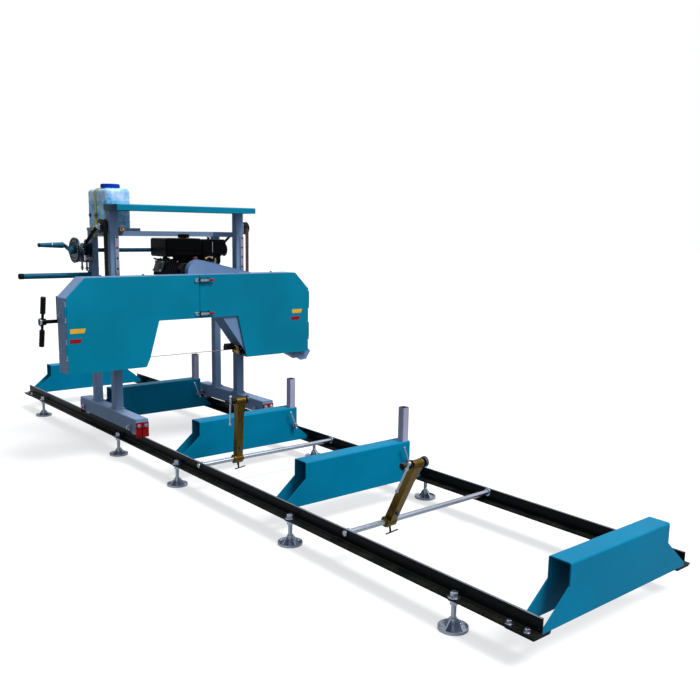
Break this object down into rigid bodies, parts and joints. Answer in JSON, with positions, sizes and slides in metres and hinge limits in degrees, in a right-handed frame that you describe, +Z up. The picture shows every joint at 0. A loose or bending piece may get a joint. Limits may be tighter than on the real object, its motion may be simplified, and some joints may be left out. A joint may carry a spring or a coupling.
{
  "type": "portable band sawmill",
  "caption": "Portable sawmill: a cutting head with a horizontal band blade and engine rides a wheeled carriage along a track with bunks, log stops and clamps.",
  "frame": {"origin": "on the floor, in the middle of the footprint", "axes": "+Y along the track from the front end to the back, +Z up, +X to the right as seen from the front end"},
  "size_m": [1.828, 4.86, 1.658],
  "materials": {
    "track_black": "satin dark paint",
    "zinc": "zinc plated",
    "carriage_blue": "satin dark blue-grey paint",
    "wheel_steel": "turned steel",
    "scraper_red": "gloss red paint",
    "post_grey": "satin blue-grey paint",
    "teal": "gloss teal-blue paint",
    "bunk_blue": "gloss light blue paint",
    "tank_blue": "milky blue moulded plastic",
    "cap_blue": "deep blue moulded plastic",
    "strap_yellow": "woven strap",
    "strap_black": "woven strap",
    "grip_black": "satin black",
    "case_grey": "satin grey paint",
    "latch_chrome": "bright plated",
    "cast": "machined casting",
    "blade_steel": "spring steel",
    "guide_black": "satin black",
    "roller_gold": "yellow passivated steel",
    "belt_rubber": "moulded belt",
    "chute_black": "moulded plastic",
    "engine_metal": "cast aluminium, part painted black",
    "engine_tank": "gloss dark paint",
    "cap_black": "black moulded plastic",
    "stop_zinc": "zinc plated tube",
    "clamp_gold": "yellow passivated steel"
  },
  "bodies": {
    "track": {"rails": "track_black", "bunk_1": "bunk_blue", "bunk_2": "bunk_blue", "bunk_3": "bunk_blue", "bunk_4": "bunk_blue", "bunk_5": "bunk_blue", "clamp_rods": "zinc"},
    "feet": {"levelling_feet": "zinc"},
    "stop_1": {"stop_post_1": "stop_zinc"},
    "stop_2": {"stop_post_2": "stop_zinc"},
    "stop_3": {"stop_post_3": "stop_zinc"},
    "stop_screw_1": {"stop_screw_1": "zinc"},
    "stop_screw_2": {"stop_screw_2": "zinc"},
    "stop_screw_3": {"stop_screw_3": "zinc"},
    "carriage": {"carriage_beams": "carriage_blue", "rail_scrapers": "scraper_red", "front_posts": "post_grey", "rear_frame": "post_grey", "top_beam": "teal", "water_tank": "tank_blue", "tank_strap": "strap_yellow", "push_handle": "teal", "winch_frame": "zinc", "winch_straps": "strap_black", "lift_straps": "strap_black"},
    "front_axle": {"front_wheels": "wheel_steel"},
    "rear_axle": {"rear_wheels": "wheel_steel"},
    "winch_shaft": {"winch_drum": "wheel_steel", "winch_crank": "grip_black"},
    "pulleys": {"lift_pulleys": "wheel_steel"},
    "tank_lid": {"tank_cap": "cap_blue"},
    "head": {"head_frame": "post_grey", "cover_case": "case_grey", "saw_band": "blade_steel", "band_guides": "guide_black", "belt_guard": "case_grey", "drive_belt": "belt_rubber", "sawdust_chute": "chute_black", "engine_block": "engine_metal", "engine_fuel_tank": "engine_tank"},
    "left_door": {"left_door": "teal"},
    "right_door": {"right_door": "teal"},
    "upper_latch": {"upper_latch": "latch_chrome"},
    "lower_latch": {"lower_latch": "latch_chrome"},
    "drive": {"drive_wheel": "cast"},
    "idler": {"idler_wheel": "cast"},
    "tension_slide": {"tension_slide": "wheel_steel"},
    "tension_screw": {"tension_handle": "grip_black"},
    "upper_roller": {"upper_roller": "roller_gold"},
    "lower_roller": {"lower_roller": "roller_gold"},
    "engine_pulley": {"engine_pulley": "cast"},
    "fuel_lid": {"fuel_cap": "cap_black"},
    "clamp_collar_1": {"clamp_collar_1": "clamp_gold"},
    "clamp_arm_1": {"clamp_arm_1": "clamp_gold"},
    "clamp_spindle_1": {"clamp_spindle_1": "zinc"},
    "clamp_handle_1": {"clamp_handle_1": "zinc"},
    "clamp_collar_2": {"clamp_collar_2": "clamp_gold"},
    "clamp_arm_2": {"clamp_arm_2": "clamp_gold"},
    "clamp_spindle_2": {"clamp_spindle_2": "zinc"},
    "clamp_handle_2": {"clamp_handle_2": "zinc"}
  },
  "joints": [
    {"name": "feet_height", "type": "slide", "parent": "track", "child": "feet", "axis": [0, 0, -1], "range_m": [0, 0.02]},
    {"name": "stop_1_height", "type": "slide", "parent": "track", "child": "stop_1", "axis": [0, 0, 1], "range_m": [-0.09, 0.06]},
    {"name": "stop_screw_1_turn", "type": "hinge", "parent": "track", "child": "stop_screw_1", "pos_m": [0.364, -0.976, 0.222], "axis": [0, 1, 0], "range_deg": [-180, 180]},
    {"name": "stop_2_height", "type": "slide", "parent": "track", "child": "stop_2", "axis": [0, 0, 1], "range_m": [-0.09, 0.06]},
    {"name": "stop_screw_2_turn", "type": "hinge", "parent": "track", "child": "stop_screw_2", "pos_m": [0.364, 0.016, 0.222], "axis": [0, 1, 0], "range_deg": [-180, 180]},
    {"name": "stop_3_height", "type": "slide", "parent": "track", "child": "stop_3", "axis": [0, 0, 1], "range_m": [-0.09, 0.06]},
    {"name": "stop_screw_3_turn", "type": "hinge", "parent": "track", "child": "stop_screw_3", "pos_m": [0.364, 1.195, 0.222], "axis": [0, 1, 0], "range_deg": [-180, 70]},
    {"name": "clamp_1_place", "type": "slide", "parent": "track", "child": "clamp_collar_1", "axis": [1, 0, 0], "range_m": [-0.12, 0.25]},
    {"name": "clamp_1_lean", "type": "hinge", "parent": "clamp_collar_1", "child": "clamp_arm_1", "pos_m": [-0.186, -0.226, 0.157], "axis": [1, 0, 0], "range_deg": [-25, 65]},
    {"name": "clamp_1_grip", "type": "slide", "parent": "clamp_arm_1", "child": "clamp_spindle_1", "axis": [1, 0, 0], "range_m": [-0.006, 0.008]},
    {"name": "clamp_1_handle", "type": "hinge", "parent": "clamp_spindle_1", "child": "clamp_handle_1", "pos_m": [-0.186, -0.24306, 0.48255], "axis": [1, 0, 0], "range_deg": [-540, 720]},
    {"name": "clamp_2_place", "type": "slide", "parent": "track", "child": "clamp_collar_2", "axis": [1, 0, 0], "range_m": [-0.12, 0.25]},
    {"name": "clamp_2_lean", "type": "hinge", "parent": "clamp_collar_2", "child": "clamp_arm_2", "pos_m": [-0.176, -1.44, 0.157], "axis": [1, 0, 0], "range_deg": [-49, 41]},
    {"name": "clamp_2_grip", "type": "slide", "parent": "clamp_arm_2", "child": "clamp_spindle_2", "axis": [1, 0, 0], "range_m": [-0.006, 0.008]},
    {"name": "clamp_2_handle", "type": "hinge", "parent": "clamp_spindle_2", "child": "clamp_handle_2", "pos_m": [-0.176, -1.588, 0.44747], "axis": [1, 0, 0], "range_deg": [-540, 720]},
    {"name": "carriage_travel", "type": "slide", "parent": "track", "child": "carriage", "axis": [0, 1, 0], "range_m": [-2.85, 1.08]},
    {"name": "front_axle_roll", "type": "hinge", "parent": "carriage", "child": "front_axle", "pos_m": [0.029, 0.541, 0.2173], "axis": [1, 0, 0], "range_deg": [-1473.8, 3888.4]},
    {"name": "rear_axle_roll", "type": "hinge", "parent": "carriage", "child": "rear_axle", "pos_m": [0.029, 1.24, 0.2173], "axis": [1, 0, 0], "range_deg": [-1473.8, 3888.4]},
    {"name": "head_lift", "type": "slide", "parent": "carriage", "child": "head", "axis": [0, 0, 1], "range_m": [-0.255, 0.115], "deforming": ["lift_straps"]},
    {"name": "winch_turn", "type": "hinge", "parent": "carriage", "child": "winch_shaft", "pos_m": [0.029, 1.11, 1.252], "axis": [1, 0, 0], "range_deg": [-223.9, 495.8]},
    {"name": "pulley_turn", "type": "hinge", "parent": "carriage", "child": "pulleys", "pos_m": [0.029, 0.823, 1.402], "axis": [1, 0, 0], "range_deg": [-167.3, 370.4]},
    {"name": "tank_cap_turn", "type": "hinge", "parent": "carriage", "child": "tank_lid", "pos_m": [-0.369, 0.928, 1.632], "axis": [0, 0, 1], "range_deg": [0, 360]},
    {"name": "left_door_swing", "type": "hinge", "parent": "head", "child": "left_door", "pos_m": [-0.8225, 0.5477, 0.86], "axis": [0, 0, -1], "range_deg": [0, 110]},
    {"name": "right_door_swing", "type": "hinge", "parent": "head", "child": "right_door", "pos_m": [0.8755, 0.5477, 0.86], "axis": [0, 0, 1], "range_deg": [0, 110]},
    {"name": "upper_latch_turn", "type": "hinge", "parent": "right_door", "child": "upper_latch", "pos_m": [0.034, 0.531, 1.081], "axis": [0, 0, -1], "range_deg": [0, 100]},
    {"name": "lower_latch_turn", "type": "hinge", "parent": "right_door", "child": "lower_latch", "pos_m": [0.034, 0.531, 0.873], "axis": [0, 0, -1], "range_deg": [0, 100]},
    {"name": "drive_spin", "type": "hinge", "parent": "head", "child": "drive", "pos_m": [0.571, 0.608, 0.86], "axis": [0, 1, 0], "continuous": true},
    {"name": "tension_travel", "type": "slide", "parent": "head", "child": "tension_slide", "axis": [1, 0, 0], "range_m": [0, 0.008]},
    {"name": "tension_turn", "type": "hinge", "parent": "head", "child": "tension_screw", "pos_m": [-0.896, 0.707, 0.86], "axis": [1, 0, 0], "range_deg": [0, 720]},
    {"name": "idler_spin", "type": "hinge", "parent": "tension_slide", "child": "idler", "pos_m": [-0.513, 0.608, 0.86], "axis": [0, 1, 0], "continuous": true},
    {"name": "engine_spin", "type": "hinge", "parent": "head", "child": "engine_pulley", "pos_m": [0.107, 0.709, 1.118], "axis": [0, 1, 0], "continuous": true},
    {"name": "upper_roller_spin", "type": "hinge", "parent": "head", "child": "upper_roller", "pos_m": [0.334, 0.608, 0.6342], "axis": [0, 1, 0], "continuous": true},
    {"name": "lower_roller_spin", "type": "hinge", "parent": "head", "child": "lower_roller", "pos_m": [0.334, 0.608, 0.6041], "axis": [0, 1, 0], "continuous": true},
    {"name": "fuel_cap_turn", "type": "hinge", "parent": "head", "child": "fuel_lid", "pos_m": [0.091, 0.86, 1.334], "axis": [0, 0, 1], "range_deg": [0, 360]}
  ],
  "couplings": [
    {"joint": "clamp_1_grip", "follows": "clamp_1_handle", "m_per_rad": 0.00063662},
    {"joint": "clamp_2_grip", "follows": "clamp_2_handle", "m_per_rad": 0.00063662},
    {"joint": "front_axle_roll", "follows": "carriage_travel", "rad_per_m": -23.81},
    {"joint": "rear_axle_roll", "follows": "carriage_travel", "rad_per_m": -23.81},
    {"joint": "winch_turn", "follows": "head_lift", "rad_per_m": -33.898},
    {"joint": "pulley_turn", "follows": "head_lift", "rad_per_m": -25.316},
    {"joint": "tension_travel", "follows": "tension_turn", "m_per_rad": 0.00063662},
    {"joint": "idler_spin", "follows": "drive_spin", "ratio": 1},
    {"joint": "engine_spin", "follows": "drive_spin", "ratio": 3.3621}
  ]
}
